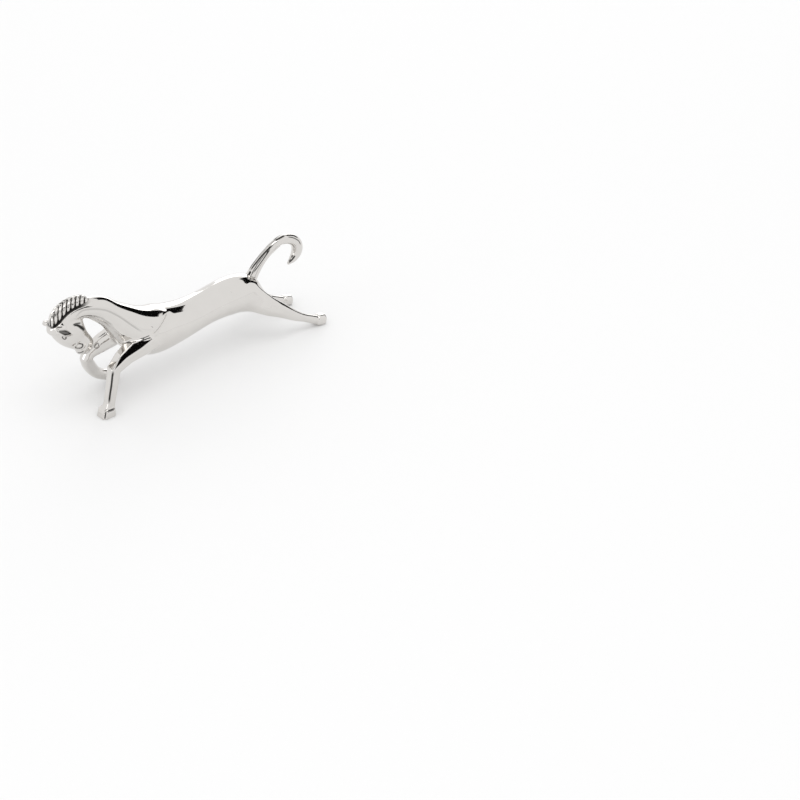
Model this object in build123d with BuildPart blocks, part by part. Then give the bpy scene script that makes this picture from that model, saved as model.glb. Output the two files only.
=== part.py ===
from build123d import *
from math import cos, radians, sin, sqrt
from typing import NamedTuple
import os

# Knife rest: a cast horse, stretched low from its planted left foreleg to its trailing hind hooves.
# X runs from head to tail, Y from the horse's left to its right, and Z up from the table.
# Sizes are millimetres. A heading of 0 points to the head, 90 up, -90 down and -180 to the tail.

# Stance
saddle_height = 20.4  # table to the dip of the back that carries a blade
fore_stance_width = 13.2  # between the middles of the left and the right fore hooves
hind_stance_width = 15.0  # between the middles of the left and the right hind hooves
fore_hoof_x = -32.2
folded_hoof_x = -20.9
hind_hoof_x = 42.87

# Torso
rump_width = 10.8
rump_depth = 10.4
loin_width = 11.4
loin_depth = 10.4
saddle_width = 10.8
saddle_depth = 9.4
girth_width = 12.6
girth_depth = 12.5
shoulder_width = 13.0
shoulder_depth = 13.8

# Neck and head
neck_base_width = 9.6
neck_base_depth = 9.7
neck_width = 5.4
neck_depth = 5.8
poll_x = -42.0
poll_rise = 8.6  # above the saddle
head_heading = -132.0
head_length = 15.0
cheek_width = 5.2
cheek_depth = 10.3
nose_width = 4.6
nose_depth = 8.2
muzzle_width = 3.6
muzzle_depth = 5.4
eye_diameter = 1.4
nostril_diameter = 1.5
mouth_height = 0.5
mouth_depth = 2.2
mouth_across = -0.4  # towards the jaw from the middle of the lips
eye_along = -1.5  # from the cheek, towards the lips
eye_across = 2.1  # from the middle of the cheek, towards the face
nostril_along = 0.8  # from the nose, towards the lips
nostril_across = 1.0  # from the middle of the nose, towards the face
ear_length = 6.5
ear_width = 2.3
ear_thickness = 1.2
ear_rise = 0.36  # towards the face, for each millimetre along the ear
ear_splay = 0.15  # sideways, for each millimetre along the ear

# Mane
mane_width = 3.7
lock_count = 12
lock_thickness = 1.0
lock_slant = 30.0
mane_reach = 0.95  # share of the crest that the mane covers, from its end over the withers

# Legs
knee_height = 12.0
knee_width = 3.5
cannon_width = 3.2
fetlock_height = 3.5
fetlock_width = 3.0
fore_hoof_length = 5.0
fore_hoof_width = 4.6
fore_hoof_height = 2.3
hind_cannon_width = 2.3
hind_hoof_width = 3.2
foreleg_inset = 3.2  # flank of the torso to the middle of a foreleg's root
hind_leg_inset = 2.6  # flank of the torso to the middle of a hind leg's root

# Tail
dock_width = 2.8
stem_width = 2.1
strand_width = 1.8
plume_width = 3.3
tail_tip_width = 1.8
tail_rise = 6.2  # middle of the hook's top above the saddle

# Pegs, and the solder round them
leg_peg_diameter = 2.4
leg_peg_reach = 1.0  # past the root of the leg
neck_peg_diameter = 3.6
neck_peg_length = 4.0
tail_peg_diameter = 1.4
tail_peg_reach = 2.4  # past the root of the dock
mane_peg_diameter = 1.2
mane_peg_length = 1.4
mane_peg_shares = (0.2, 0.8)  # of the crest, from the withers to the poll
solder_gap = 0.05


class Rib(NamedTuple):
    """One elliptical section of a cast form: its middle, the way the form heads there, and its size."""

    x: float
    y: float
    z: float
    heading: float
    depth: float
    width: float

    def plane(self):
        turn = radians(self.heading)
        return Plane((self.x, self.y, self.z), x_dir=(0, -1, 0), z_dir=(-cos(turn), 0, sin(turn)))

    def point(self, along=0.0, across=0.0, aside=0.0):
        """The point that lies along the heading, across it and aside, to the horse's right."""
        return self.plane().from_local_coords(Vector(-aside, across, along))

    def flank(self, across):
        """Half the width of the section, where it is measured across from the middle."""
        return self.width / 2 * sqrt(1 - (2 * across / self.depth) ** 2)


def hung(x, rise, heading, depth, width):
    """A rib hung from the line of the back, at a rise above the saddle."""
    turn = radians(heading)
    middle_x = x - depth / 2 * sin(turn)
    middle_z = saddle_height + rise - depth / 2 * cos(turn)
    return Rib(middle_x, 0, middle_z, heading, depth, width)


def sections(ribs):
    """The filled outlines of the ribs, in order, for a loft."""
    outlines = []
    for rib in ribs:
        with BuildSketch(rib.plane()) as outline:
            Ellipse(rib.width / 2, rib.depth / 2)
        outlines.append(outline.sketch)
    return outlines


def peg(start, end, diameter, mode=Mode.ADD):
    """A round peg between two points, or with Mode.SUBTRACT the hole that takes it."""
    axis = end - start
    with Locations(Plane(start, z_dir=axis)):
        Cylinder(diameter / 2, axis.length, align=(Align.CENTER, Align.CENTER, Align.MIN), mode=mode)


def socket(start, end, diameter):
    """The hole for a peg, with room for solder round it and past its end."""
    axis = end - start
    peg(start, end + axis.normalized() * solder_gap, diameter + 2 * solder_gap, Mode.SUBTRACT)


# Torso, from the rump to the base of the neck
rump = hung(20.6, 0.5, 0, rump_depth, rump_width)
shoulder = hung(-11.6, 2.5, 14, shoulder_depth, shoulder_width)
neck_base = hung(-18.5, 5.9, 40, neck_base_depth, neck_base_width)
torso_ribs = [
    hung(25.8, -4.3, 0, 1.6, 2.0),
    hung(24.2, -0.9, 0, 8.0, 8.2),
    rump,
    hung(15.1, 0.8, 0, loin_depth, loin_width),
    hung(7.6, 0.0, 0, saddle_depth, saddle_width),
    hung(0.6, -0.2, 0, 10.2, 11.6),
    hung(-6.1, 1.0, 3, girth_depth, girth_width),
    shoulder,
    hung(-15.2, 4.0, 30, 12.1, 12.0),
    neck_base,
]
neck_peg_root = neck_base.point()
neck_peg_end = neck_base.point(along=-neck_peg_length)

# Neck, from its base to the poll
neck_ribs = [
    hung(-22.5, 8.5, 40, 7.7, 7.4),
    hung(-26.4, 11.4, 34, 7.2, 6.0),
    hung(-30.8, 12.6, 22, neck_depth, neck_width),
    hung(-36.0, 13.2, 4, 5.6, 5.0),
    hung(-40.6, 12.0, -22, 5.4, 4.6),
    hung(-43.2, 9.4, -52, 4.8, 4.2),
]

# Head, from the crown to the lips
poll = Rib(poll_x, 0, saddle_height + poll_rise, head_heading, 6.8, 4.6)


def head_rib(distance, depth, width, drop=0.0):
    """A rib of the head, at a distance from the poll towards the lips, dropped to the side of the jaw."""
    middle = poll.point(along=distance, across=-drop)
    return Rib(middle.X, 0, middle.Z, head_heading, depth, width)


cheek = head_rib(4.6, cheek_depth, cheek_width, 0.8)
nose = head_rib(8.6, nose_depth, nose_width, 0.2)
lips = head_rib(head_length, 3.2, 2.4)
head_ribs = [
    head_rib(-1.4, 3.0, 3.0),
    poll,
    cheek,
    nose,
    head_rib(11.8, 6.4, 4.0),
    head_rib(head_length - 1.2, muzzle_depth, muzzle_width),
    lips,
]


def ear_sections(side):
    """The outlines of an ear, from its root beside the cheek to its tip beyond the poll."""
    root = cheek.point(along=-0.4, across=0.1, aside=side * (cheek_width / 2 - ear_thickness / 2))
    run = cheek.point(along=-1, across=ear_rise, aside=side * ear_splay) - cheek.point()
    outlines = []
    for share, size in ((0, 0.8), (0.5, 1.0), (0.85, 0.75), (1, 0.35)):
        middle = root + run.normalized() * (share * ear_length)
        with BuildSketch(Plane(middle, x_dir=(0, 1, 0), z_dir=run)) as outline:
            Ellipse(ear_thickness / 2 * size, ear_width / 2 * size)
        outlines.append(outline.sketch)
    return outlines


# Crest of the neck, where the mane lies, from its end over the withers to the poll
crest_ribs = neck_ribs[2:]
with BuildLine() as crest_line:
    Spline(*[rib.point(across=rib.depth / 2) for rib in crest_ribs])
crest = crest_line.edge()
core_width = mane_width - lock_thickness
core_shares = [mane_reach * step / 4 for step in range(5)]


def crest_plane(share, slant=0.0):
    """The plane across the crest, at a share of its length, leaning back from the neck by the slant."""
    return Plane(crest @ share, x_dir=(0, -1, 0), z_dir=crest % share).rotated((slant, 0, 0))


def mane_peg_ends(share):
    """Where a peg of the mane starts, inside it, and where it ends in the neck."""
    plane = crest_plane(share)
    return crest @ share, crest @ share - plane.y_dir * mane_peg_length


def leg_y(z, root_y, root_z, hoof_y):
    """How far aside a leg is at a height: it spreads as it leaves the torso, then stands over its hoof."""
    return hoof_y - (hoof_y - root_y) * (z / root_z) ** 3


def mirrored(ribs):
    """The ribs of the leg on the other side."""
    return [rib._replace(y=-rib.y) for rib in ribs]


# Left foreleg, planted: from the shoulder to the sole
foreleg_y = shoulder_width / 2 - foreleg_inset
planted_root_z = saddle_height - 2.1


def planted(x, z, heading, depth, width):
    """A rib of the planted leg."""
    return Rib(x, -leg_y(z, foreleg_y, planted_root_z, fore_stance_width / 2), z, heading, depth, width)


planted_knee_x = -28.0
planted_ribs = [
    planted(-17.6, planted_root_z, -28, 8.6, 4.6),
    planted(-21.2, saddle_height - 4.2, -30, 7.6, 4.8),
    planted(-24.6, knee_height + 2.0, -36, 6.4, 3.9),
    planted(planted_knee_x, knee_height, -52, knee_width + 0.8, knee_width),
    planted(planted_knee_x - 1.1, knee_height - 2.8, -74, cannon_width + 0.3, cannon_width + 0.1),
    planted(planted_knee_x - 2.0, knee_height - 6.0, -74, cannon_width + 0.1, cannon_width),
    planted(fore_hoof_x + 1.2, fetlock_height, -76, fetlock_width + 0.4, fetlock_width + 0.2),
    planted(fore_hoof_x + 0.6, fore_hoof_height, -90, fetlock_width + 0.8, fetlock_width + 0.6),
]
planted_sole = planted(fore_hoof_x, 0, -90, fore_hoof_length, fore_hoof_width)

# Right foreleg, folded: the forearm, then the shank that comes back under it
folded_root_z = saddle_height - 3.6


def folded(x, z, heading, depth, width):
    """A rib of the folded leg."""
    return Rib(x, leg_y(z, foreleg_y, folded_root_z, fore_stance_width / 2), z, heading, depth, width)


folded_knee_x = -29.7
forearm_ribs = [
    folded(-17.9, folded_root_z, -22, 8.2, 4.6),
    folded(-21.8, knee_height + 3.0, -21, 6.8, 4.4),
    folded(-25.4, knee_height + 1.6, -20, 5.8, 3.9),
    folded(folded_knee_x, knee_height, -20, knee_width + 0.3, knee_width),
]
shank_ribs = [
    folded(folded_knee_x, knee_height, -118, knee_width + 0.3, knee_width),
    folded(folded_knee_x + 1.2, knee_height - 2.8, -119, cannon_width + 0.6, cannon_width + 0.3),
    folded(folded_knee_x + 2.8, knee_height - 5.7, -121, cannon_width + 0.4, cannon_width),
    folded(folded_knee_x + 4.5, fetlock_height + 1.0, -142, fetlock_width + 0.4, fetlock_width + 0.2),
    folded(folded_hoof_x - 1.6, fore_hoof_height + 0.8, -158, fetlock_width + 0.4, fetlock_width + 0.4),
]
folded_hoof_ribs = [
    shank_ribs[-1],
    folded(folded_hoof_x + 0.6, fore_hoof_height - 0.5, -164, fore_hoof_length - 0.6, fore_hoof_width),
    folded(folded_hoof_x + 1.2, fore_hoof_height - 0.8, -168, fore_hoof_length - 1.8, fore_hoof_width - 1.0),
]

# Hind legs, stretched back: from the haunch to the hoof
hind_leg_y = rump_width / 2 - hind_leg_inset
hind_root_z = saddle_height - 4.9


def stretched(x, z, heading, depth, width):
    """A rib of the right hind leg."""
    return Rib(x, leg_y(z, hind_leg_y, hind_root_z, hind_stance_width / 2), z, heading, depth, width)


hind_ribs = [
    stretched(20.8, hind_root_z, -140, 7.8, 5.0),
    stretched(25.2, saddle_height - 8.9, -142, 5.8, 5.2),
    stretched(29.2, 9.1, -143, 4.3, 3.9),
    stretched(33.7, 6.0, -145, 3.1, 2.9),
    stretched(36.9, 4.1, -149, hind_cannon_width, hind_cannon_width - 0.1),
    stretched(hind_hoof_x - 3.4, 2.7, -153, hind_cannon_width + 0.1, hind_cannon_width),
    stretched(hind_hoof_x - 1.6, 1.8, -158, hind_cannon_width + 0.3, hind_hoof_width - 0.6),
]
hind_hoof_ribs = [
    hind_ribs[-1],
    stretched(hind_hoof_x - 0.9, 1.6, -162, 3.0, hind_hoof_width),
    stretched(hind_hoof_x + 1.1, 1.0, -166, 2.9, hind_hoof_width),
    stretched(hind_hoof_x + 1.5, 0.9, -168, 2.0, hind_hoof_width - 0.8),
]

# Tail, from the dock over its hook to the tip
hook_z = saddle_height + tail_rise


def tail_rib(x, z, heading, width):
    """A round rib of the tail."""
    return Rib(x, 0, z, heading, width, width)


tail_ribs = [
    tail_rib(23.4, saddle_height - 2.2, 132, dock_width),
    tail_rib(25.0, saddle_height + 0.3, 133, dock_width - 0.3),
    tail_rib(26.6, saddle_height + 1.9, 138, stem_width + 0.1),
    tail_rib(30.5, saddle_height + 4.6, 148, stem_width),
    tail_rib(34.2, hook_z, 165, stem_width + 0.5),
    tail_rib(37.2, hook_z, 190, plume_width - 0.2),
    tail_rib(40.1, hook_z - 1.8, 235, plume_width),
    tail_rib(41.1, hook_z - 4.6, 265, plume_width - 0.2),
    tail_rib(39.5, hook_z - 6.9, 308, plume_width - 0.8),
    tail_rib(37.5, hook_z - 8.2, 332, tail_tip_width),
]
strand_ribs = [
    tail_rib(24.4, saddle_height - 3.6, 118, strand_width),
    tail_rib(26.8, saddle_height + 0.1, 126, strand_width),
    tail_rib(29.4, saddle_height + 2.7, 142, strand_width - 0.1),
    tail_rib(32.2, saddle_height + 4.1, 160, strand_width - 0.4),
    tail_rib(34.8, saddle_height + 4.7, 168, strand_width / 4),
]

# Bare forms, which the other castings are cut to fit
with BuildPart() as body_form:
    loft(sections(torso_ribs + neck_ribs))

with BuildPart() as head_form:
    loft(sections(head_ribs))

with BuildPart() as neck_form:
    split(body_form.part, bisect_by=neck_base.plane(), keep=Keep.TOP)
    add(head_form.part)
    for side in (-1, 1):
        loft(ear_sections(side))


def leg_peg_ends(ribs):
    """Where a leg's peg starts, inside the leg, and where it ends in the torso."""
    root = ribs[0].point()
    start = ribs[1].point()
    return start, root + (root - start).normalized() * leg_peg_reach


def tail_peg_ends():
    """Where the tail's peg starts, inside the tail, and where it ends in the torso."""
    root = tail_ribs[0].point()
    start = tail_ribs[1].point()
    return start, root + (root - start).normalized() * tail_peg_reach


leg_roots = [planted_ribs, forearm_ribs, hind_ribs, mirrored(hind_ribs)]

with BuildPart() as torso:
    split(body_form.part, bisect_by=neck_base.plane(), keep=Keep.BOTTOM)
    for ribs in leg_roots:
        socket(*leg_peg_ends(ribs), leg_peg_diameter)
    socket(*tail_peg_ends(), tail_peg_diameter)
    socket(neck_peg_root, neck_peg_end, neck_peg_diameter)
torso.part.label = "torso"

with BuildPart() as left_foreleg:
    loft(sections(planted_ribs))
    loft(sections([planted_ribs[-1], planted_sole]))
    add(body_form.part, mode=Mode.SUBTRACT)
    peg(*leg_peg_ends(planted_ribs), leg_peg_diameter)
left_foreleg.part.label = "left_foreleg"

with BuildPart() as right_foreleg:
    loft(sections(forearm_ribs))
    loft(sections(shank_ribs))
    loft(sections(folded_hoof_ribs), ruled=True)
    with Locations(forearm_ribs[-1].point()):
        Sphere(forearm_ribs[-1].depth / 2)
    split(bisect_by=Plane.XY, keep=Keep.TOP)
    add(body_form.part, mode=Mode.SUBTRACT)
    peg(*leg_peg_ends(forearm_ribs), leg_peg_diameter)
right_foreleg.part.label = "right_foreleg"

with BuildPart() as right_hind_leg:
    loft(sections(hind_ribs))
    loft(sections(hind_hoof_ribs), ruled=True)
    split(bisect_by=Plane.XY, keep=Keep.TOP)
    add(body_form.part, mode=Mode.SUBTRACT)
    peg(*leg_peg_ends(hind_ribs), leg_peg_diameter)
right_hind_leg.part.label = "right_hind_leg"

with BuildPart() as left_hind_leg:
    mirror(right_hind_leg.part, about=Plane.XZ)
left_hind_leg.part.label = "left_hind_leg"

with BuildPart() as tail:
    loft(sections(tail_ribs))
    loft(sections(strand_ribs))
    add(body_form.part, mode=Mode.SUBTRACT)
    peg(*tail_peg_ends(), tail_peg_diameter)
tail.part.label = "tail"

with BuildPart() as neck_and_head:
    add(neck_form.part)
    for side in (-1, 1):
        eye_side = side * (cheek.flank(eye_across) - eye_diameter / 4)
        with Locations(cheek.point(along=eye_along, across=eye_across, aside=eye_side)):
            Sphere(eye_diameter / 2)
        nostril_side = side * (nose.flank(nostril_across) + nostril_diameter / 8)
        with Locations(nose.point(along=nostril_along, across=nostril_across, aside=nostril_side)):
            Sphere(nostril_diameter / 2, mode=Mode.SUBTRACT)
    with Locations(Plane(lips.point(across=mouth_across), x_dir=(0, -1, 0), z_dir=lips.plane().z_dir)):
        Box(muzzle_width + 1, mouth_height, 2 * mouth_depth, mode=Mode.SUBTRACT)
    for share in mane_peg_shares:
        socket(*mane_peg_ends(share), mane_peg_diameter)
    peg(neck_peg_root, neck_peg_end, neck_peg_diameter)
neck_and_head.part.label = "neck_and_head"

with BuildPart() as mane:
    core_outlines = []
    for share in core_shares:
        with BuildSketch(crest_plane(share)) as outline:
            Circle(core_width / 2)
        core_outlines.append(outline.sketch)
    loft(core_outlines)
    for lock in range(lock_count):
        with Locations(crest_plane(mane_reach * lock / (lock_count - 1), lock_slant)):
            Torus(core_width / 2, lock_thickness / 2)
    add(body_form.part, mode=Mode.SUBTRACT)
    add(head_form.part, mode=Mode.SUBTRACT)
    for share in mane_peg_shares:
        peg(*mane_peg_ends(share), mane_peg_diameter)
mane.part.label = "mane"

os.makedirs("parts", exist_ok=True)
export_step(torso.part, "parts/torso.step")
export_step(neck_and_head.part, "parts/neck_and_head.step")
export_step(mane.part, "parts/mane.step")
export_step(left_foreleg.part, "parts/left_foreleg.step")
export_step(right_foreleg.part, "parts/right_foreleg.step")
export_step(left_hind_leg.part, "parts/left_hind_leg.step")
export_step(right_hind_leg.part, "parts/right_hind_leg.step")
export_step(tail.part, "parts/tail.step")
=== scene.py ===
import math

import bmesh
import bpy
import numpy as np
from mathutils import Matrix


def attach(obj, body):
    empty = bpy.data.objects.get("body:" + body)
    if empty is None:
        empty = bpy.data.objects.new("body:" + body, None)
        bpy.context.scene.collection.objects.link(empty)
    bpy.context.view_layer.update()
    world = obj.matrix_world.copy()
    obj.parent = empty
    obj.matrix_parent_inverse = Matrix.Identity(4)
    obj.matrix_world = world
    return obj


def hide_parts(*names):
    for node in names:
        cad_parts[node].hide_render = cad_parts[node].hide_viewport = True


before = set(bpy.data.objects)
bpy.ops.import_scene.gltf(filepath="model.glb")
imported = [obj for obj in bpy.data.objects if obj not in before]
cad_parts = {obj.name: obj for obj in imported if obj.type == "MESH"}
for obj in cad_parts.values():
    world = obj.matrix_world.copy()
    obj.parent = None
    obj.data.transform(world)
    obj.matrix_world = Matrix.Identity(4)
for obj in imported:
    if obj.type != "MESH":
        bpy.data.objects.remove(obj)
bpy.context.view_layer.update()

import openvdb
from mathutils import Vector

# A polished silver horse that carries a blade on its back. The castings are blended into one dressed skin
# by distance fields, worked in millimetres. The skin is parted again at the joints, a piece for each casting,
# and the mane and the tail are chased as forms of their own.

MM = 0.001  # metres in a millimetre
BODY = "root"

skin_voxel = 0.16
skin_depth = 1.2  # how far from the skin its lines are worked
line_fade = 0.15  # the share of a drawn line over which each end fades
edge_fade = 0.2  # the same for a step in the skin
rod_margin = 1.5
# Painted shade: near black laid into the colour of hollows, creases and drawn lines, standing in for shade
# and dark reflections there
shade_paint_bend = 2.0  # how sharply a hollow bends, in 1/mm, where the painted shade starts
shade_paint_range = 3.0
shade_paint_spread = 1.25  # how much wider than its rod the painted shade of a hollow is
oval_steps = 12
shade_paint_power = 6  # how sharply a line of painted shade ends at its sides
silver_light = (0.72, 0.70, 0.675, 1)
silver_grey = (0.68, 0.66, 0.635, 1)
# the colour of the painted shade and painted dark reflections
painted_shade_colour = (0.02, 0.019, 0.018, 1)


class Clay:
    """A distance field over a box, in millimetres: negative inside the metal and positive outside it."""

    def __init__(self, low, high, voxel, band=11):
        self.voxel = voxel
        self.band = band
        self.first = np.floor(np.array(low) / voxel).astype(int)
        self.shape = tuple(int(n) for n in np.ceil(np.array(high) / voxel).astype(int) - self.first)
        self.grid_step = openvdb.createLinearTransform(voxel)
        self.field = np.full(self.shape, band * voxel, np.float32)
        # lines that carry painted shade along them
        self.painted_shade_lines = []

    def distance(self, points, triangles, quads):
        """The distance to a closed mesh."""
        grid = openvdb.FloatGrid.createLevelSetFromPolygons(
            np.array(points, np.float32), np.array(triangles, np.uint32).reshape(-1, 3),
            np.array(quads, np.uint32).reshape(-1, 4), self.grid_step, self.band)
        values = np.empty(self.shape, np.float32)
        grid.copyToArray(values, tuple(int(n) for n in self.first))
        return values

    def node_distance(self, node):
        """The distance to a casting of the frame."""
        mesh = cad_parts[node].data
        mesh.calc_loop_triangles()
        points = np.empty(len(mesh.vertices) * 3, np.float32)
        mesh.vertices.foreach_get("co", points)
        triangles = np.empty(len(mesh.loop_triangles) * 3, np.uint32)
        mesh.loop_triangles.foreach_get("vertices", triangles)
        return self.distance(points.reshape(-1, 3) / MM, triangles, [])

    def surface(self):
        """The points, triangles and quads of the skin."""
        grid = openvdb.FloatGrid(self.band * self.voxel)
        grid.transform = self.grid_step
        grid.gridClass = openvdb.GridClass.LEVEL_SET
        grid.copyFromArray(self.field, ijk=tuple(int(n) for n in self.first))
        return grid.convertToPolygons(isovalue=0.0, adaptivity=0.0)

    def redistance(self):
        """Measures the field again from its own skin, which drops what castings share inside."""
        self.field = self.distance(*self.surface())

    def join(self, values, blend):
        """Adds a form, with a fillet of about that reach in its corners."""
        self.field = smooth_least(self.field, values, blend)

    def graft(self, other, blend):
        """Adds the form of a smaller clay that lies inside this one."""
        low = other.first - self.first
        part = tuple(slice(start, start + count) for start, count in zip(low, other.shape))
        self.field[part] = smooth_least(self.field[part], other.field, blend)

    def soften(self, reach):
        """Dresses the skin: a blur of the field, whose reach is in millimetres."""
        sigma = reach / self.voxel
        taps = np.arange(-int(3 * sigma + 0.5), int(3 * sigma + 0.5) + 1)
        weights = np.exp(-0.5 * (taps / sigma) ** 2)
        weights /= weights.sum()
        for axis in range(3):
            blurred = np.zeros_like(self.field)
            for tap, weight in zip(taps, weights):
                blurred += np.float32(weight) * np.roll(self.field, tap, axis)
            self.field = blurred

    def values(self, points):
        """The field at any points; outside the box it is what it is far from the form."""
        place = points / self.voxel - self.first
        outside = np.any((place < 0) | (place > np.array(self.shape) - 1), axis=1)
        corner = np.clip(np.floor(place).astype(int), 0, np.array(self.shape) - 2)
        share = place - corner
        found = np.zeros(len(points))
        for step in np.ndindex(2, 2, 2):
            weight = np.prod(np.where(step, share, 1 - share), axis=1)
            found += weight * self.field[tuple((corner + step).T)]
        found[outside] = self.band * self.voxel
        return found

    def lie(self, points, step):
        """How the skin lies at points on it: the way out of it, and how it bends, hollows being negative."""
        out = np.zeros((len(points), 3))
        bend = -6 * self.values(points)
        for axis, away in enumerate(np.eye(3) * step):
            after, before = self.values(points + away), self.values(points - away)
            out[:, axis] = after - before
            bend += after + before
        return out / np.linalg.norm(out, axis=1)[:, None], bend / step ** 2

    def lay(self, points):
        """Brings points to the skin."""
        for _ in range(4):
            out, _ = self.lie(points, self.voxel)
            points = points - out * self.values(points)[:, None]
        return points

    def block(self, line, reach):
        """The box of cells round a line, and their places."""
        low = np.floor((line.min(axis=0) - reach) / self.voxel).astype(int) - self.first
        high = np.ceil((line.max(axis=0) + reach) / self.voxel).astype(int) - self.first
        low, high = np.clip(low, 0, None), np.clip(high, 0, self.shape)
        cells = tuple(slice(start, stop) for start, stop in zip(low, high))
        places = np.moveaxis(np.indices(high - low), 0, -1) + low + self.first
        return cells, places.reshape(-1, 3) * self.voxel

    def near(self, line, reach):
        """The skin round a line: its cells and their places."""
        block, places = self.block(line, reach)
        skin = np.abs(self.field[block].ravel()) < skin_depth
        places = places[skin]
        cells = np.rint(places / self.voxel).astype(int) - self.first
        return tuple(cells.T), places

    def stroke(self, points, width, height, painted_shade=0.0, closed=False):
        """Draws a soft line on the skin: raised by the height, or sunk where that is negative, with painted
        shade along it as strong as asked.
        """
        line = self.lay(through(points))
        cells, places = self.near(line, 3 * np.max(width))
        self.field[cells] -= height * touch(places, line, width, closed)
        if painted_shade:
            self.painted_shade_lines.append((line, width, painted_shade, closed))

    def edge(self, points, towards, height, reach, sharp=0.3):
        """Steps the skin up along a line, as one muscle stands over the next, on the side it is towards."""
        line = self.lay(through(points))
        cells, places = self.near(line, 3 * reach)
        foot, run, share = nearest(places, line)
        out, _ = self.lie(foot, self.voxel)
        aside = np.cross(out, run)
        aside *= np.sign(aside @ np.array(towards))[:, None]
        side = np.sum((places - foot) * aside, axis=1)
        away = np.linalg.norm(places - foot, axis=1)
        fade = ease(np.minimum(share, 1 - share) / edge_fade)
        self.field[cells] -= height * fade * np.tanh(side / sharp) * np.exp(-(away / reach) ** 2)

    def rod(self, points, radii, blend, hollow=False, painted_shade=0.0):
        """Adds a rod whose radius swells and tapers along it, or takes it out as a hollow, with painted shade
        along it as strong as asked.
        """
        line = through(points, 4)
        cells, places = self.block(line, max(radii) + rod_margin)
        foot, _, share = nearest(places, line)
        distance = np.linalg.norm(places - foot, axis=1) - along(radii, share)
        distance = distance.reshape(self.field[cells].shape)
        if hollow:
            self.field[cells] = -smooth_least(-self.field[cells], distance, blend)
        else:
            self.field[cells] = smooth_least(self.field[cells], distance, blend)
        if painted_shade:
            self.painted_shade_lines.append((line, shade_paint_spread * np.array(radii), painted_shade, True))

    def stand(self):
        """Cuts the form flat where it stands on the floor."""
        height = (np.arange(self.shape[2]) + self.first[2]) * self.voxel
        self.field = np.maximum(self.field, -height.astype(np.float32))

    def painted_shade(self, points, shade_paint):
        """How much painted shade the skin takes at points on it: in sharp hollows, along drawn lines and
        where the function it is given tells.
        """
        bend = self.lie(points, self.voxel)[1]
        dark = np.maximum(ease((-bend - shade_paint_bend) / shade_paint_range), shade_paint(points))
        for line, width, strength, closed in self.painted_shade_lines:
            reach = np.ptp(line, axis=0) / 2 + 2 * np.max(width)
            close = np.all(np.abs(points - (line.max(axis=0) + line.min(axis=0)) / 2) < reach, axis=1)
            felt = touch(points[close], line, width, closed, shade_paint_power)
            dark[close] = np.maximum(dark[close], strength * felt)
        return dark.astype(np.float32)

    def pieces(self, material, shade_paint, nodes, owner):
        """The finished skin, as one object for each casting; owner tells whose the skin is at points."""
        points, *rows = self.surface()
        whose = [owner(points[row].mean(axis=1)) for row in rows]
        for index, node in enumerate(nodes):
            chosen = [row[who == index][:, ::-1] for row, who in zip(rows, whose)]
            used = np.unique(np.concatenate([row.ravel() for row in chosen]))
            place = np.zeros(len(points), int)
            place[used] = np.arange(len(used))
            own = points[used].astype(float)
            mesh = bpy.data.meshes.new("silver_" + node)
            faces = [face for row in chosen for face in place[row].tolist()]
            mesh.from_pydata((own * MM).tolist(), [], faces)
            added = cap(mesh)
            mesh.polygons.foreach_set("use_smooth", [True] * len(mesh.polygons))
            normals = self.lie(own, self.voxel)[0].tolist() + [(0, 0, 1)] * added
            mesh.normals_split_custom_set_from_vertices(normals)
            # Each point keeps its painted shade, the near black of hollows and creases, as an attribute that
            # the silver reads
            layer = mesh.attributes.new("painted_shade", "FLOAT", "POINT")
            layer.data.foreach_set("value", np.append(self.painted_shade(own, shade_paint), [0] * added))
            mesh.materials.append(material)
            piece = bpy.data.objects.new("silver_" + node, mesh)
            bpy.context.scene.collection.objects.link(piece)
            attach(piece, BODY)
            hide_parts(node)


def smooth_least(a, b, blend):
    """The lesser of two fields, rounded where they are closer than the blend."""
    share = np.clip(0.5 + 0.5 * (b - a) / blend, 0, 1)
    return b + (a - b) * share - blend * share * (1 - share)


def ease(share):
    """A soft step from 0 to 1."""
    share = np.clip(share, 0, 1)
    return share * share * (3 - 2 * share)


def through(points, steps=8):
    """A smooth line through points, or a smooth loft through rows of them."""
    points = np.array(points, float)
    ends = np.concatenate([2 * points[:1] - points[1:2], points, 2 * points[-1:] - points[-2:-1]])
    line = []
    for a, b, c, d in zip(ends, ends[1:], ends[2:], ends[3:]):
        for t in np.arange(steps) / steps:
            line.append(b + 0.5 * t * (c - a + t * (2 * a - 5 * b + 4 * c - d + t * (3 * b - a - 3 * c + d))))
    return np.array(line + [points[-1]])


def nearest(places, line):
    """For each place the nearest point of a line, the way the line runs there, and the share along it."""
    least = np.full(len(places), np.inf)
    foot = np.zeros((len(places), 3))
    run = np.zeros((len(places), 3))
    share = np.zeros(len(places))
    for index, (start, end) in enumerate(zip(line, line[1:])):
        step = end - start
        part = np.clip((places - start) @ step / (step @ step), 0, 1)
        point = start + part[:, None] * step
        gap = np.sum((places - point) ** 2, axis=1)
        closer = gap < least
        least[closer] = gap[closer]
        foot[closer] = point[closer]
        run[closer] = step / np.linalg.norm(step)
        share[closer] = (index + part[closer]) / (len(line) - 1)
    return foot, run, share


def along(values, share):
    """A value at a share of a line, from the one or more that it takes along it."""
    values = np.atleast_1d(values)
    return np.interp(share, np.linspace(0, 1, len(values)), values)


def touch(places, line, width, closed, power=2):
    """How much of a drawn line's touch is felt at places round it: 1 on the line, and fading at its ends."""
    foot, _, share = nearest(places, line)
    fade = 1 if closed else ease(np.minimum(share, 1 - share) / line_fade)
    width = along(width, share)
    return fade * np.exp(-(np.linalg.norm(places - foot, axis=1) / width) ** power)


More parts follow.
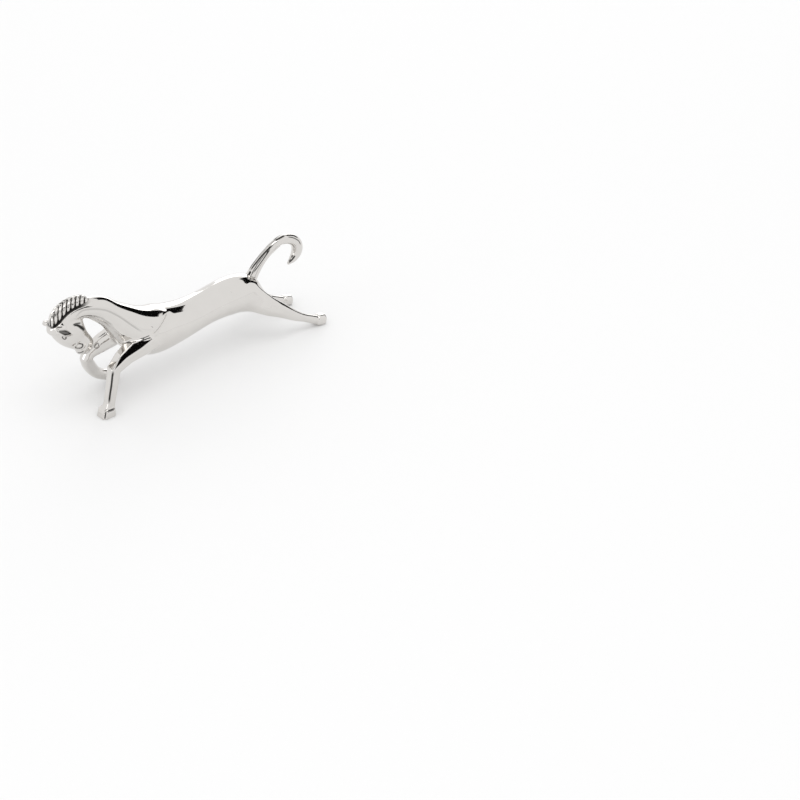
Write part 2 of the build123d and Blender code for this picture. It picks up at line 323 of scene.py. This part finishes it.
def cap(mesh):
    """Closes a skin inside, where it was parted from the next casting's, and counts the points added."""
    work = bmesh.new()
    work.from_mesh(mesh)
    rims = dict.fromkeys(edge for edge in work.edges if edge.is_boundary)
    added = 0
    while rims:
        rim = [rims.popitem()[0]]
        for edge in rim:
            for other in [link for vert in edge.verts for link in vert.link_edges]:
                if other in rims:
                    del rims[other]
                    rim.append(other)
        middle = sum((vert.co for edge in rim for vert in edge.verts), Vector()) / (2 * len(rim))
        centre = work.verts.new(middle)
        added += 1
        for edge in rim:
            loop = edge.link_loops[0]
            work.faces.new((loop.link_loop_next.vert, loop.vert, centre))
    work.to_mesh(mesh)
    work.free()
    return added


def zero(points):
    """Zero at each of the points: no painted shade, or the first casting."""
    return np.zeros(len(points))


def mirrored(points):
    """The same points on the horse's other side."""
    return [(x, -y, z) for x, y, z in points]


def ring(x, y, z, heading, corners):
    """The corners of a limb's section, given across the heading and outwards, set in their place."""
    turn = math.radians(heading)
    outwards = math.copysign(1, y)
    return [(x + across * math.sin(turn), y + outwards * out, z + across * math.cos(turn))
            for across, out in corners]


def hewn(depth, width, front, side):
    """A limb's section with flat faces; the edge between its front and its outer side is cut away."""
    d, w = depth / 2, width / 2
    return [(d, -0.5 * w), (d, w - front), (d - side, w), (-0.5 * d, w), (-d, 0.4 * w), (-d, -0.5 * w),
            (-0.5 * d, -w), (0.6 * d, -w)]


def loft(rings):
    """A closed mesh through rings of corners, with its ends capped."""
    count = len(rings[0])
    points = np.concatenate(list(rings) + [[np.mean(rings[0], axis=0)], [np.mean(rings[-1], axis=0)]])
    quads = []
    for row in range(len(rings) - 1):
        for n in range(count):
            m = (n + 1) % count
            quads.append((row * count + n, row * count + m, (row + 1) * count + m, (row + 1) * count + n))
    last = (len(rings) - 1) * count
    triangles = []
    for n in range(count):
        m = (n + 1) % count
        triangles += [(m, n, len(points) - 2), (last + n, last + m, len(points) - 1)]
    return points, triangles, quads


def oval(middle, long, short, turn):
    """Points round an oval on the horse's side, its long way turned down from the nose's side by degrees."""
    turn = math.radians(turn)
    points = []
    for step in range(oval_steps + 1):
        angle = math.tau * step / oval_steps
        u, v = long * math.cos(angle), short * math.sin(angle)
        points.append((middle[0] + u * math.cos(turn) + v * math.sin(turn), middle[1],
                       middle[2] - u * math.sin(turn) + v * math.cos(turn)))
    return points


def silver():
    """Mirror-polished silver plate, with a cloth's faint haze, and painted shade laid near black into the
    deep lines.
    """
    material = bpy.data.materials.new("silver")
    material.use_nodes = True
    nodes = material.node_tree.nodes
    links = material.node_tree.links
    shader = nodes["Principled BSDF"]
    shader.inputs["Metallic"].default_value = 1.0
    place = nodes.new("ShaderNodeTexCoord")
    haze = nodes.new("ShaderNodeTexNoise")
    haze.inputs["Scale"].default_value = 260.0
    haze.inputs["Detail"].default_value = 6.0
    links.new(place.outputs["Object"], haze.inputs["Vector"])
    tone = nodes.new("ShaderNodeMix")
    tone.data_type = "RGBA"
    tone.inputs["A"].default_value = silver_light
    tone.inputs["B"].default_value = silver_grey
    links.new(haze.outputs["Fac"], tone.inputs["Factor"])
    # Painted shade: the skin's attribute mixes near black into the colour, and a duller gloss, in hollows and
    # creases
    painted_shade = nodes.new("ShaderNodeAttribute")
    painted_shade.attribute_name = "painted_shade"
    shade_paint = nodes.new("ShaderNodeMix")
    shade_paint.data_type = "RGBA"
    shade_paint.inputs["B"].default_value = painted_shade_colour
    links.new(painted_shade.outputs["Fac"], shade_paint.inputs["Factor"])
    links.new(tone.outputs["Result"], shade_paint.inputs["A"])
    links.new(shade_paint.outputs["Result"], shader.inputs["Base Color"])
    gloss = nodes.new("ShaderNodeMapRange")
    gloss.inputs["To Min"].default_value = 0.03
    gloss.inputs["To Max"].default_value = 0.09
    links.new(haze.outputs["Fac"], gloss.inputs["Value"])
    dull = nodes.new("ShaderNodeMix")
    dull.inputs["B"].default_value = 0.35
    links.new(painted_shade.outputs["Fac"], dull.inputs["Factor"])
    links.new(gloss.outputs["Result"], dull.inputs["A"])
    links.new(dull.outputs["Result"], shader.inputs["Roughness"])
    return material


metal = silver()

# Limbs, by stations: x, y, z, heading, depth, width, and what the cut edge takes of the front and of the side
planted_leg = [
    (-9.5, -2.2, 15.6, -38, 3.6, 2.6, 0.3, 0.6),
    (-14.6, -4.9, 15.8, -38, 5.6, 4.6, 0.5, 0.9),
    (-19.2, -4.7, 15.2, -42, 7.3, 5.2, 1.35, 2.5),
    (-24.2, -5.1, 14.0, -46, 5.5, 4.2, 0.9, 1.5),
    (-28.2, -5.7, 12.2, -56, 3.9, 3.4, 0.4, 0.6),
    (-29.3, -6.2, 9.0, -74, 3.3, 3.1, 0.35, 0.4),
    (-31.0, -6.6, 3.4, -76, 3.0, 2.9, 0.35, 0.4),
    (-31.5, -6.6, 2.2, -90, 3.4, 3.2, 0.35, 0.4),
]
planted_hoof = [
    (-31.7, -6.6, 2.4, -90, 3.5, 3.5, 0.5, 0.5),
    (-32.0, -6.6, 1.9, -90, 4.3, 4.3, 0.5, 0.5),
    (-32.2, -6.6, 0.0, -90, 5.0, 4.6, 0.6, 0.6),
]
folded_forearm = [
    (-17.0, 3.3, 17.2, -22, 7.4, 4.4, 1.0, 1.0),
    (-21.8, 4.2, 15.5, -21, 5.8, 4.2, 1.0, 1.0),
    (-25.4, 4.9, 14.1, -20, 4.9, 3.8, 0.8, 0.8),
    (-29.6, 5.4, 12.2, -22, 2.8, 2.6, 0.6, 0.6),
]
folded_shank = [
    (-29.7, 5.5, 11.8, -112, 2.8, 2.6, 0.6, 0.6),
    (-28.5, 6.1, 9.2, -119, 3.5, 3.4, 0.8, 0.9),
    (-26.9, 6.4, 6.4, -125, 3.4, 3.1, 0.7, 0.8),
    (-25.2, 6.5, 4.6, -136, 3.2, 3.1, 0.7, 0.8),
    (-23.2, 6.6, 3.4, -148, 3.1, 3.1, 0.7, 0.8),
    (-21.3, 6.6, 2.6, -158, 3.1, 3.2, 0.7, 0.8),
]
folded_knee = [(-29.0, 5.4, 12.2), (-29.4, 5.5, 11.7), (-29.2, 5.6, 11.0)]
empty_socket = [(-19.3, -3.3, 18.3), (-16.8, -3.2, 18.7)]  # what the planted leg leaves open of its socket
folded_hoof = [
    (-21.3, 6.6, 2.6, -158, 3.1, 3.2, 0.7, 0.8),
    (-20.0, 6.6, 1.9, -164, 3.7, 4.2, 0.6, 0.6),
    (-19.3, 6.6, 1.6, -168, 3.0, 3.6, 0.5, 0.5),
]
hind_leg = [
    (18.0, 2.0, 15.5, -140, 4.4, 2.6, 0.9, 1.2),
    (22.6, 3.6, 13.4, -141, 6.4, 4.4, 1.3, 1.9),
    (25.8, 5.4, 11.2, -142, 5.4, 4.8, 1.3, 1.7),
    (29.2, 6.5, 9.1, -143, 4.2, 3.8, 0.9, 1.1),
    (33.7, 7.2, 6.0, -145, 3.0, 2.8, 0.4, 0.5),
    (36.9, 7.4, 4.1, -149, 2.3, 2.2, 0.3, 0.4),
    (39.5, 7.5, 2.7, -153, 2.4, 2.3, 0.3, 0.4),
    (41.3, 7.5, 1.8, -158, 2.5, 2.6, 0.3, 0.4),
]
hind_hoof = [
    (41.3, 7.45, 1.8, -158, 2.6, 2.7, 0.3, 0.4),
    (42.0, 7.45, 1.6, -162, 3.0, 3.2, 0.4, 0.4),
    (43.9, 7.45, 1.2, -166, 2.9, 3.2, 0.4, 0.4),
    (44.3, 7.45, 1.1, -168, 2.0, 2.4, 0.4, 0.4),
]


def limb(stations, steps, other_side=False):
    """The mesh of a limb through its stations, with straight faces between them where steps is 1."""
    rings = []
    for x, y, z, heading, *section in stations:
        y = -y if other_side else y
        corners = ring(x, y, z, heading, hewn(*section))
        rings.append(corners if y < 0 else corners[::-1])
    return loft(through(rings, steps))


# The body: torso, neck and head, then the legs
body_low, body_high = (-47, -11.5, -2), (47, 11.5, 36)
limb_blend = 0.2
body = Clay(body_low, body_high, skin_voxel)
body.field = np.minimum(body.node_distance("torso"), body.node_distance("neck_and_head"))
body.redistance()
body.soften(0.28)
trunk = Clay(body_low, body_high, skin_voxel)
trunk.field = body.field.copy()

forelegs = Clay((-37, -11, -1.5), (-10, 11, 24), skin_voxel)
forelegs.join(forelegs.distance(*limb(folded_forearm, 4)), limb_blend)
forelegs.join(forelegs.distance(*limb(folded_shank, 4)), 0.9)
forelegs.join(forelegs.distance(*limb(folded_hoof, 1)), 0.5)
forelegs.rod(folded_knee, (1.3, 1.5, 1.3), 0.9)
forelegs.soften(0.35)
forelegs.join(forelegs.distance(*limb(planted_leg, 1)), limb_blend)
forelegs.join(forelegs.distance(*limb(planted_hoof, 1)), limb_blend)
forelegs.soften(0.12)
body.graft(forelegs, 0.9)
hind_legs = Clay((14, -11, -1.5), (46, 11, 20), skin_voxel)
for other_side in (False, True):
    hind_legs.join(hind_legs.distance(*limb(hind_leg, 4, other_side)), limb_blend)
hind_legs.soften(0.3)
for other_side in (False, True):
    hind_legs.join(hind_legs.distance(*limb(hind_hoof, 1, other_side)), limb_blend)
hind_legs.soften(0.12)
body.graft(hind_legs, 2.2)
body.rod(empty_socket, (1.45, 1.45), 0.05)
body.stand()

# The mane: a rod along the crest, parted into locks, each of two strands
crest = through([(-31.2, 0, 31.9), (-33.4, 0, 33.1), (-37.2, 0, 33.3), (-40.4, 0, 32.3), (-42.4, 0, 30.5),
                 (-43.1, 0, 28.4)], 5)
crest_radii = (0.8, 1.5, 1.6, 1.6, 1.4, 0.7)
crest_flatness = 0.85  # the part of the way aside that counts, so the mane is wider than a round rod
lock_pitch = 1.45
lock_lean = 1.0  # how far a lock leads to the head, for its way down the side
lock_depth = 0.38
lock_start = 0.12  # the share of the crest over which the partings deepen
strand_height = 0.06


def mane_form(places):
    """At places: the distance to the mane's rod, the share along it, how near the parting, and the strand."""
    foot, _, share = nearest(places, crest)
    distance = np.linalg.norm((places - foot) * (1, crest_flatness, 1), axis=1) - along(crest_radii, share)
    strand = (places[:, 0] + lock_lean * np.abs(places[:, 1])) / lock_pitch
    return distance, share, np.abs(2 * (strand % 1) - 1), strand


def mane_painted_shade(points):
    """Painted shade between the locks."""
    return 0.75 * ease((mane_form(points)[2] - 0.74) / 0.26)


def mane_shade(points):
    """How much points on the neck lie in the crease along the mane, which fades at both ends."""
    shade = np.zeros(len(points))
    close = np.all(np.abs(points - crest.mean(axis=0)) < 10, axis=1)
    distance, share, _, _ = mane_form(points[close])
    fade = ease(share / 0.3) * ease((1 - share) / 0.06)
    shade[close] = fade * np.exp(-(np.maximum(distance, 0) / 0.5) ** 8)
    return shade


tail_line = [(23.4, 0, 18.6), (25.0, 0, 20.7), (26.6, 0, 22.3), (30.5, 0, 25.0), (33.6, 0, 26.3),
             (36.1, 0, 26.5), (38.7, 0, 25.7), (40.6, 0, 24.0), (41.1, 0, 22.1), (40.6, 0, 20.4),
             (39.3, 0, 19.1), (37.9, 0, 18.3)]
tail_radii = (1.35, 1.2, 1.05, 1.05, 1.2, 1.4, 1.55, 1.65, 1.65, 1.45, 1.1, 0.5)
under_strand = [(24.4, 0, 16.9), (26.8, 0, 20.4), (29.4, 0, 22.9), (32.2, 0, 24.4), (34.8, 0, 25.0)]


def body_painted_shade(points):
    """Painted shade in the crease along the mane and round the tail's root."""
    shade = mane_shade(points)
    root = through(tail_line[:2])
    close = np.all(np.abs(points - root.mean(axis=0)) < 4, axis=1)
    away = np.linalg.norm(points[close] - nearest(points[close], root)[0], axis=1)
    shade[close] = np.maximum(shade[close], np.exp(-(away / 1.6) ** 12))
    return shade


cells, places = body.near(crest, 4)
body.field[cells] += 0.3 * mane_shade(places)

# Lines of the head, the neck, the chest and the forelegs; those with two sides are given on the near one
neck_groove = [(-37.8, -2.3, 29.8), (-34.5, -2.5, 31.4), (-28.7, -2.9, 29.6), (-24.5, -3.6, 26.5),
               (-20.9, -5.1, 22.7), (-17.8, -6.0, 19.4)]
throat_groove = [(-33.8, -1.2, 28.1), (-31.0, -2.3, 28.1), (-27.7, -2.9, 25.9), (-25.6, -3.2, 23.6)]
chest_ridge = [(-28.6, -2.8, 26.8), (-26.8, -3.0, 25.0), (-24.7, -3.4, 21.9), (-23.3, -4.5, 19.6)]
shoulder_edge = [(-6.8, -2.6, 21.1), (-9.0, -4.0, 20.6), (-11.0, -5.2, 19.9), (-13.6, -6.1, 18.9),
                 (-15.6, -6.5, 18.4)]
jowl_line = [(-38.1, -2.5, 28.2), (-36.6, -2.4, 27.6), (-35.1, -2.2, 26.2), (-33.6, -1.5, 24.5)]
throat_line = [(-38.3, -2.5, 28.4), (-36.6, -2.3, 28.1), (-35.2, -1.6, 27.5)]
face_line = [(-40.2, -2.4, 24.4), (-39.8, -2.3, 24.2), (-38.6, -2.3, 23.1), (-37.6, -2.0, 22.2)]
ear = [(-38.9, -2.2, 25.9), (-41.3, -2.9, 27.2), (-43.5, -3.1, 28.5)]
ear_hollow = [(-39.3, -2.8, 26.3), (-41.4, -3.5, 27.7), (-43.1, -3.6, 28.8)]
mouth_line = [(-36.5, -0.5, 18.0), (-35.6, -1.0, 18.2), (-34.6, -1.4, 18.8)]
eye = (-41.1, -2.4, 25.4)
nostril = (-36.2, -1.8, 20.8)
fold_ring = (-27.0, 3.5, 15.1)
hoof_edge = [(-33.4, -8.1, 2.4), (-33.9, -8.5, 1.9), (-34.4, -8.6, 0.2)]
coronet_line = [(-33.6, -8.2, 2.2), (-32.0, -8.6, 2.3), (-30.2, -8.5, 2.3)]
cannon_line = [(-29.5, -7.2, 13.2), (-30.2, -7.4, 11.2), (-30.7, -7.6, 9.4), (-31.5, -7.7, 6.5),
               (-32.3, -7.9, 3.6)]
face = [(-45.0, 0, 27.5), (-42.5, 0, 23.0), (-39.5, 0, 19.8), (-35.6, 0, 17.4)]
muzzle = [(-33.6, 0, 19.6), (-32.6, 0, 18.6)]
# Strokes with a fourth number, and the ear's hollow, lay painted shade, near black, along their lines
body.stroke(face, 2.0, -0.8)
body.rod(muzzle, (1.6, 1.5), 0.5)
for side in (list, mirrored):
    body.stroke(side(neck_groove), 0.25, -0.06, 0.25)
    body.stroke(side(throat_groove), 0.25, -0.06, 0.25)
    body.stroke(side(chest_ridge), 0.35, 0.4)
    body.edge(side(shoulder_edge), (-0.5, 0, 1), 0.35, 2.5)
    body.stroke(side(jowl_line), (0.2, 0.35, 0.5, 0.4), -0.12, 1.0)
    body.stroke(side(throat_line), 0.22, -0.15, 0.9)
    body.stroke(side(face_line), 0.25, 0.12)
    body.rod(side(ear), (0.5, 0.95, 0.5), 0.3)
    body.rod(side(ear_hollow), (0.15, 0.62, 0.3), 0.12, hollow=True, painted_shade=1.0)
    body.stroke(side(mouth_line), 0.22, -0.2, 0.9)
    body.stroke(side(oval(eye, 0.75, 0.5, 48)), 0.2, -0.2, 0.8, closed=True)
    body.stroke(side(oval(nostril, 1.5, 1.15, 10)), 0.24, 0.16, closed=True)
    body.stroke(side(oval(nostril, 1.1, 0.8, 10)), 0.22, -0.18, 0.6, closed=True)
body.stroke(cannon_line, 0.3, -0.1, 1.0)
body.stroke(hoof_edge, 0.2, -0.08, 1.0)
body.stroke(coronet_line, 0.22, -0.1, 0.9)
body.stroke(oval(fold_ring, 0.75, 0.65, 0), 0.18, -0.12, 0.5, closed=True)

# The joints, each as a plane's point and the way to the casting beyond it
neck_joint = np.array((-19.0, 0, 21.0))
neck_way = np.array((-0.7, 0, 0.7))
shoulder_joint = np.array((-20.5, 0, 16.5))
shoulder_way = np.array((-0.75, 0, -0.65))
thigh_joint = np.array((24.0, 0, 13.0))
thigh_way = np.array((0.8, 0, -0.6))
castings = ("torso", "neck_and_head", "left_foreleg", "right_foreleg", "left_hind_leg", "right_hind_leg")


def casting(points):
    """Which of the castings the body's skin belongs to at points, parted at the joints."""
    trunk_gap = trunk.values(points)
    right = points[:, 1] > 0
    whose = np.where((points - neck_joint) @ neck_way > 0, 1, 0)
    fore = ((points - shoulder_joint) @ shoulder_way > 0) & (forelegs.values(points) < trunk_gap)
    whose[fore] = 2 + right[fore]
    hind = ((points - thigh_joint) @ thigh_way > 0) & (hind_legs.values(points) < trunk_gap)
    whose[hind] = 4 + right[hind]
    return whose


# The skin takes painted shade in sharp hollows, along the drawn lines, in the mane's crease and round the
# tail's root
body.pieces(metal, body_painted_shade, castings, casting)

# The mane, which hangs over the crest of the neck
mane = Clay((-46, -2.8, 26.0), (-28, 2.8, 36), 0.1)
mane_places = (np.argwhere(np.ones(mane.shape, bool)) + mane.first) * mane.voxel
distance, share, parting, strand = mane_form(mane_places)
parted = lock_depth * ease(share / lock_start) * ease((parting - 0.45) / 0.55)
distance += parted + strand_height * np.cos(math.tau * 2 * strand)
mane.field = distance.reshape(mane.shape).astype(np.float32)
mane.soften(0.1)
# The partings between the mane's locks take painted shade
mane.pieces(metal, mane_painted_shade, ("mane",), zero)

# The tail: a bound stem that curls into a plume, and a strand that lies under it
stem_edge = [(23.6, -0.3, 21.0), (25.8, -0.4, 22.9), (29.0, -0.5, 25.0), (32.2, -0.6, 26.8)]
plume_edge = [(32.8, -0.4, 27.4), (34.4, -0.6, 27.8), (36.5, -0.6, 28.1)]
plume_line = [(36.8, -1.2, 27.6), (38.7, -1.5, 26.7), (40.5, -1.6, 25.1), (41.2, -1.6, 23.4)]
tip_line = [(39.5, -1.1, 20.6), (38.6, -0.9, 19.6), (37.6, -0.5, 18.7)]
strand_edge = [(23.8, -1.0, 20.4), (26.5, -1.1, 22.3), (28.9, -1.0, 24.3), (30.6, -0.7, 25.8)]
tail = Clay((20, -2.6, 14), (44.5, 2.6, 30), 0.12)
tail.rod(tail_line, tail_radii, 0.1)
tail.rod(under_strand, (0.9, 0.85, 0.75, 0.65, 0.3), 0.12)
tail.soften(0.1)
# The tail's lines each lay painted shade, near black, along them
for side in (list, mirrored):
    tail.stroke(side(stem_edge), (0.2, 0.25, 0.27, 0.36), -0.06, 1.0)
    tail.stroke(side(strand_edge), (0.17, 0.2, 0.2, 0.36), -0.06, 1.0)
    tail.stroke(side(plume_edge), 0.3, -0.05, 1.0)
    tail.stroke(side(plume_line), 0.16, -0.05, 0.9)
    tail.stroke(side(tip_line), 0.24, -0.06, 1.0)
tail.pieces(metal, zero, ("tail",), zero)

# Camera
camera_place = Vector((-380.75, -508.7, 374.46)) * MM
view_azimuth = math.radians(-42.193)
view_elevation = math.radians(31.39)
camera_data = bpy.data.cameras.new("camera")
camera_data.lens = 119.0
camera_data.sensor_width = 36.0
camera = bpy.data.objects.new("camera", camera_data)
camera.location = camera_place
camera.rotation_euler = (math.pi / 2 - view_elevation, 0, view_azimuth)
bpy.context.scene.collection.objects.link(camera)
bpy.context.scene.camera = camera

# Studio: a pale sheet of paper under a white tent, soft lamps, and black cards that only the silver sees


def sheet(name, width, height, material):
    """A flat stage sheet that faces along its own +Z."""
    mesh = bpy.data.meshes.new(name)
    x, y = width / 2, height / 2
    mesh.from_pydata([(-x, -y, 0), (x, -y, 0), (x, y, 0), (-x, y, 0)], [], [(0, 1, 2, 3)])
    mesh.materials.append(material)
    flat = bpy.data.objects.new(name, mesh)
    bpy.context.scene.collection.objects.link(flat)
    return flat


def aim(thing, azimuth, elevation, distance, middle):
    """Puts a card or a lamp out from the middle in that direction, in degrees, and tells the way out."""
    azimuth, elevation = math.radians(azimuth), math.radians(elevation)
    out = Vector((math.cos(elevation) * math.cos(azimuth), math.cos(elevation) * math.sin(azimuth),
                  math.sin(elevation)))
    thing.location = middle + out * distance
    return out


def card(name, azimuth, elevation, width, height, distance=0.6, middle=Vector((0, 0, 0.018))):
    """A black card, sized by the angles that it fills as seen from the middle, which only the silver sees."""
    flat = sheet(name, 2 * distance * math.tan(math.radians(width / 2)),
                 2 * distance * math.tan(math.radians(height / 2)), black)
    out = aim(flat, azimuth, elevation, distance, middle)
    flat.rotation_euler = (-out).to_track_quat("Z", "Y").to_euler()
    flat.visible_camera = False
    flat.visible_diffuse = False
    flat.visible_shadow = False


def softbox(name, azimuth, elevation, size, radiance, distance=0.9, middle=Vector((0, 0, 0.018))):
    """A square soft lamp, by the radiance of its cloth."""
    light = bpy.data.lights.new(name, "AREA")
    light.size = size
    light.energy = radiance * math.pi * size ** 2
    lamp = bpy.data.objects.new(name, light)
    bpy.context.scene.collection.objects.link(lamp)
    out = aim(lamp, azimuth, elevation, distance, middle)
    lamp.rotation_euler = out.to_track_quat("Z", "Y").to_euler()


def floor_paper():
    """Pale paper, with a little glow that the camera sees, and so do mirrors and glass."""
    material = bpy.data.materials.new("floor_paper")
    material.use_nodes = True
    nodes = material.node_tree.nodes
    links = material.node_tree.links
    shader = nodes["Principled BSDF"]
    shader.inputs["Base Color"].default_value = (0.82, 0.82, 0.82, 1)
    shader.inputs["Roughness"].default_value = 0.9
    shader.inputs["Specular IOR Level"].default_value = 0.1
    shader.inputs["Emission Color"].default_value = (1, 1, 1, 1)
    rays = nodes.new("ShaderNodeLightPath")
    glow = nodes.new("ShaderNodeMath")
    glow.operation = "MULTIPLY"
    glow.inputs[1].default_value = floor_glow
    seen = nodes.new("ShaderNodeMath")
    seen.operation = "MAXIMUM"
    links.new(rays.outputs["Is Camera Ray"], seen.inputs[0])
    links.new(rays.outputs["Is Glossy Ray"], seen.inputs[1])
    through_glass = nodes.new("ShaderNodeMath")
    through_glass.operation = "MAXIMUM"
    links.new(seen.outputs["Value"], through_glass.inputs[0])
    links.new(rays.outputs["Is Transmission Ray"], through_glass.inputs[1])
    links.new(through_glass.outputs["Value"], glow.inputs[0])
    links.new(glow.outputs["Value"], shader.inputs["Emission Strength"])
    return material


def tent():
    """The tent's white cloth."""
    world = bpy.data.worlds.new("tent")
    world.use_nodes = True
    world.node_tree.nodes["Background"].inputs["Color"].default_value = (1, 1, 1, 1)
    world.node_tree.nodes["Background"].inputs["Strength"].default_value = 1.0
    return world


floor_reach = 8.0
floor_glow = 0.035

black = bpy.data.materials.new("card_black")
black.use_nodes = True
black.node_tree.nodes["Principled BSDF"].inputs["Base Color"].default_value = (0.004, 0.004, 0.004, 1)
black.node_tree.nodes["Principled BSDF"].inputs["Roughness"].default_value = 1.0
black.node_tree.nodes["Principled BSDF"].inputs["Specular IOR Level"].default_value = 0.0

sheet("floor", floor_reach, floor_reach, floor_paper())
bpy.context.scene.world = tent()
softbox("side_lamp", 42, 8, 0.6, 1.4)
softbox("far_lamp", 176, 12, 0.4, 1.4)
softbox("top_lamp", -100, 72, 0.5, 1.4)
card("card_tail_side", 9, 23.5, 29, 40)
card("card_near_side", -98, 55, 34, 14)
card("card_far_side", 94, 57, 32, 14)
card("card_head_side", 178, 36, 55, 18)
card("card_forearm", -73, 29, 29, 21, 0.09, Vector((-23, -6.6, 16)) * MM)

bpy.context.scene.view_settings.view_transform = "Standard"
